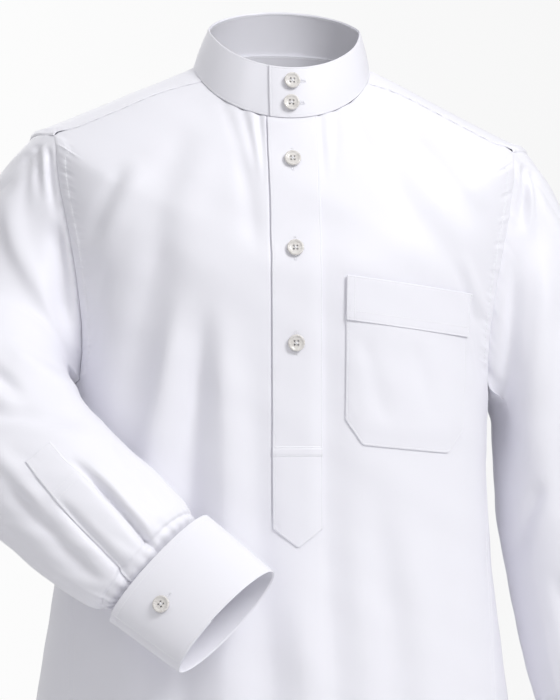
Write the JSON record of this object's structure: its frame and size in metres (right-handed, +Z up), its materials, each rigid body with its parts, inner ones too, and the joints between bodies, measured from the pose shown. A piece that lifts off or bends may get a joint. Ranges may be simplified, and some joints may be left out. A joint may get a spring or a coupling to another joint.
{
  "type": "thobe robe",
  "caption": "Ankle-length white robe with a buttoned stand collar, half placket, chest pocket and long cuffed sleeves, one bent across the front, filled out with no wearer.",
  "frame": {"origin": "middle of the neck, level with the points where the shoulders meet the collar, which is where a wearer holds the robe up", "axes": "+Z up, the front faces -Y and the wearer's left is +X"},
  "size_m": [0.6758, 0.4244, 1.4765],
  "materials": {
    "white_cotton": "satin-faced cotton, smooth, with a soft sheen",
    "shell_button": "pearly off-white, polished"
  },
  "bodies": {
    "root": {"front_panel": "white_cotton", "back_panel": "white_cotton", "yoke": "white_cotton", "side_gore_right": "white_cotton", "side_gore_left": "white_cotton", "sleeve_right": "white_cotton", "sleeve_left": "white_cotton", "collar_band": "white_cotton", "cuff_right": "white_cotton", "cuff_left": "white_cotton", "placket_over": "white_cotton", "placket_under": "white_cotton", "chest_pocket": "white_cotton", "pocket_band": "white_cotton", "sleeve_placket_right": "white_cotton", "sleeve_placket_left": "white_cotton", "button_collar_1": "shell_button", "button_collar_2": "shell_button", "button_front_1": "shell_button", "button_front_2": "shell_button", "button_front_3": "shell_button", "button_cuff_right": "shell_button", "button_cuff_left": "shell_button"}
  },
  "joints": []
}
